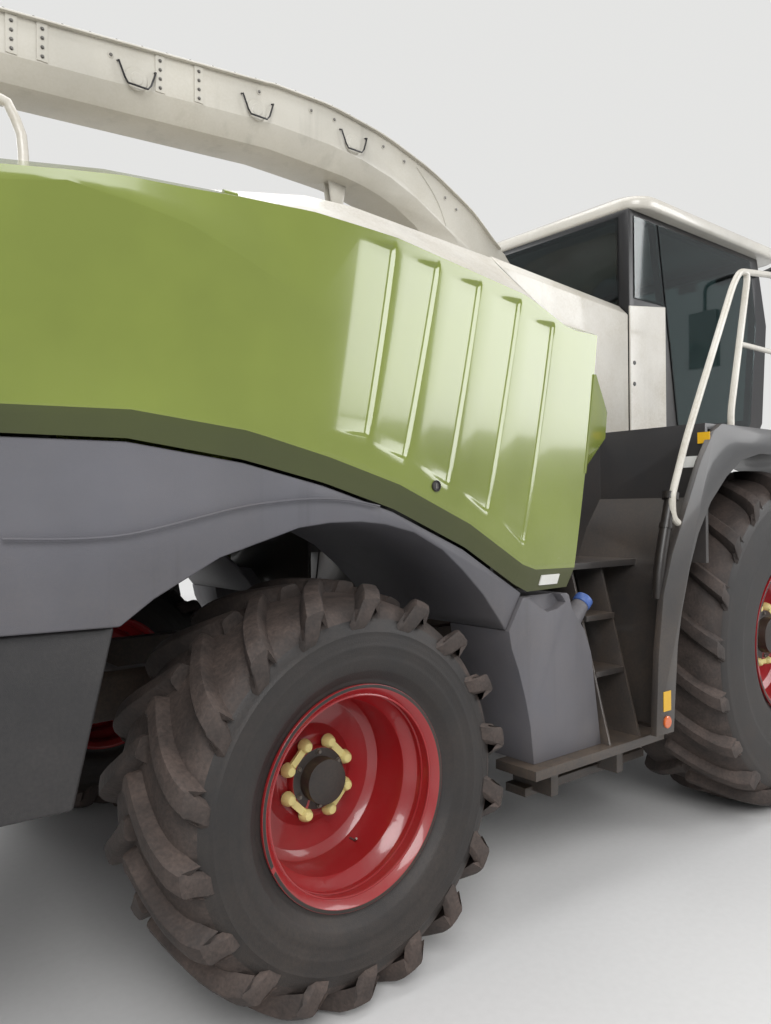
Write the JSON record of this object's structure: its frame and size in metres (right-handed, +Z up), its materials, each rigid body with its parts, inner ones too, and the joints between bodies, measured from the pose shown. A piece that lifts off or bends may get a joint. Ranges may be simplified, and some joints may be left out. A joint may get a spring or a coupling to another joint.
{
  "type": "self-propelled forage harvester",
  "caption": "Self-propelled forage harvester with a parked swing spout, glazed cab, lifting side panels, feed housing, steered rear wheels and lugged tyres.",
  "frame": {"origin": "on the ground, midway between the header face and the spout's tip, on the centre plane", "axes": "+X forward, +Y to the machine's left, +Z up"},
  "size_m": [7, 3.24, 3.8434],
  "materials": {
    "black_paint": "satin black paint, dusty",
    "grey_steel": "worn grey steel",
    "bright_steel": "ground and chromed rod",
    "dark_grey_paint": "satin dark grey paint",
    "dark_grey_plastic": "moulded dark grey plastic, fine grain",
    "red_paint": "glossy red paint",
    "tyre_rubber": "dusty black rubber",
    "blue_plastic": "moulded blue plastic",
    "green_paint": "glossy yellow-green paint",
    "pale_paint": "glossy warm light grey paint",
    "red_lens": "moulded red lens",
    "tinted_glass": "tinted safety glass",
    "seat_fabric": "dark woven seat cover",
    "black_plastic": "black moulded plastic",
    "lamp_lens": "clear ribbed lens over a reflector"
  },
  "bodies": {
    "chassis": {"frame": "black_paint", "engine": "grey_steel", "drum_housing": "dark_grey_paint", "front_axle": "black_paint", "rear_axle": "black_paint", "side_tanks": "dark_grey_plastic", "tank_cap": "blue_plastic", "rear_fenders": "dark_grey_plastic", "rear_boxes": "dark_grey_plastic", "engine_hood": "pale_paint", "mid_cover": "pale_paint", "rear_wall": "dark_grey_plastic", "counterweight": "black_paint", "tail_lamps": "red_lens", "platforms": "dark_grey_paint", "ladders": "dark_grey_paint", "handrails": "pale_paint", "cab_shell": "black_paint", "cab_roof": "pale_paint", "cab_glass": "tinted_glass", "seat": "seat_fabric", "steering_column": "black_plastic", "mirrors": "black_plastic", "work_lamps": "lamp_lens"},
    "steer_left": {"knuckle_left": "black_paint"},
    "steer_right": {"knuckle_right": "black_paint"},
    "wheel_front_left": {"rim_front_left": "red_paint", "tyre_front_left": "tyre_rubber"},
    "wheel_front_right": {"rim_front_right": "red_paint", "tyre_front_right": "tyre_rubber"},
    "wheel_rear_left": {"rim_rear_left": "red_paint", "tyre_rear_left": "tyre_rubber"},
    "wheel_rear_right": {"rim_rear_right": "red_paint", "tyre_rear_right": "tyre_rubber"},
    "panel_left": {"side_panel_left": "green_paint"},
    "panel_right": {"side_panel_right": "green_paint"},
    "door": {"cab_door": "black_paint", "door_glass": "tinted_glass"},
    "spout_turret": {"spout_base": "pale_paint"},
    "spout": {"spout_boom": "pale_paint"},
    "flap": {"spout_flap": "pale_paint"},
    "spout_barrel": {"spout_barrel": "grey_steel"},
    "spout_rod": {"spout_rod": "bright_steel"},
    "feed": {"feed_housing": "dark_grey_paint"},
    "feed_roll_upper": {"feed_roll_upper": "grey_steel"},
    "feed_roll_lower": {"feed_roll_lower": "grey_steel"},
    "feed_barrels": {"feed_barrels": "grey_steel"},
    "feed_rods": {"feed_rods": "bright_steel"}
  },
  "joints": [
    {"name": "steer_left", "type": "hinge", "parent": "chassis", "child": "steer_left", "pos_m": [-0.85, 1.02, 0.725], "axis": [0, 0, 1], "range_deg": [-38, 38]},
    {"name": "steer_right", "type": "hinge", "parent": "chassis", "child": "steer_right", "pos_m": [-0.85, -1.02, 0.725], "axis": [0, 0, 1], "range_deg": [-38, 38]},
    {"name": "roll_rear_left", "type": "hinge", "parent": "steer_left", "child": "wheel_rear_left", "pos_m": [-0.85, 1.205, 0.725], "axis": [0, 1, 0], "continuous": true},
    {"name": "roll_rear_right", "type": "hinge", "parent": "steer_right", "child": "wheel_rear_right", "pos_m": [-0.85, -1.205, 0.725], "axis": [0, 1, 0], "continuous": true},
    {"name": "roll_front_left", "type": "hinge", "parent": "chassis", "child": "wheel_front_left", "pos_m": [2.15, 1.28, 0.96], "axis": [0, 1, 0], "continuous": true},
    {"name": "roll_front_right", "type": "hinge", "parent": "chassis", "child": "wheel_front_right", "pos_m": [2.15, -1.28, 0.96], "axis": [0, 1, 0], "continuous": true},
    {"name": "panel_left", "type": "hinge", "parent": "chassis", "child": "panel_left", "pos_m": [-1.1, 1.2803, 2.745], "axis": [1, 0, 0], "range_deg": [0, 70]},
    {"name": "panel_right", "type": "hinge", "parent": "chassis", "child": "panel_right", "pos_m": [-1.1, -1.2803, 2.745], "axis": [-1, 0, 0], "range_deg": [0, 70]},
    {"name": "door", "type": "hinge", "parent": "chassis", "child": "door", "pos_m": [1.81, 0.975, 2.5], "axis": [0, 0, 1], "range_deg": [0, 80]},
    {"name": "spout_slew", "type": "hinge", "parent": "chassis", "child": "spout_turret", "pos_m": [1.08, 0, 2.9], "axis": [0, 0, 1], "range_deg": [-100, 100]},
    {"name": "spout_lift", "type": "hinge", "parent": "spout_turret", "child": "spout", "pos_m": [1.3594, 0, 3.1237], "axis": [0, 1, 0], "range_deg": [0, 30]},
    {"name": "flap_tilt", "type": "hinge", "parent": "spout", "child": "flap", "pos_m": [-3.03, 0, 3.578], "axis": [0, -1, 0], "range_deg": [0, 40]},
    {"name": "spout_barrel_swing", "type": "hinge", "parent": "spout_turret", "child": "spout_barrel", "pos_m": [0.66, 0, 3.08], "axis": [0, 1, 0], "range_deg": [0, 45.2]},
    {"name": "spout_rod_slide", "type": "slide", "parent": "spout_barrel", "child": "spout_rod", "axis": [-0.8712, 0, 0.491], "range_m": [0, 0.303]},
    {"name": "feed_lift", "type": "hinge", "parent": "chassis", "child": "feed", "pos_m": [2.71, 0, 1.01], "axis": [0, -1, 0], "range_deg": [0, 18]},
    {"name": "feed_roll_upper", "type": "hinge", "parent": "feed", "child": "feed_roll_upper", "pos_m": [3.28, 0, 1.08], "axis": [0, 1, 0], "continuous": true},
    {"name": "feed_roll_lower", "type": "hinge", "parent": "feed", "child": "feed_roll_lower", "pos_m": [3.28, 0, 0.76], "axis": [0, 1, 0], "continuous": true},
    {"name": "feed_barrel_swing", "type": "hinge", "parent": "chassis", "child": "feed_barrels", "pos_m": [2.3, 0, 0.62], "axis": [0, -1, 0], "range_deg": [0, 8.5]},
    {"name": "feed_rod_slide", "type": "slide", "parent": "feed_barrels", "child": "feed_rods", "axis": [0.9988, 0, 0.0499], "range_m": [0, 0.107]}
  ],
  "couplings": [
    {"joint": "steer_right", "follows": "steer_left", "ratio": 1},
    {"joint": "spout_barrel_swing", "follows": "spout_lift", "ratio": 1.503},
    {"joint": "spout_rod_slide", "follows": "spout_lift", "m_per_rad": 0.5762},
    {"joint": "feed_barrel_swing", "follows": "feed_lift", "ratio": 0.4687},
    {"joint": "feed_rod_slide", "follows": "feed_lift", "m_per_rad": 0.3363}
  ]
}
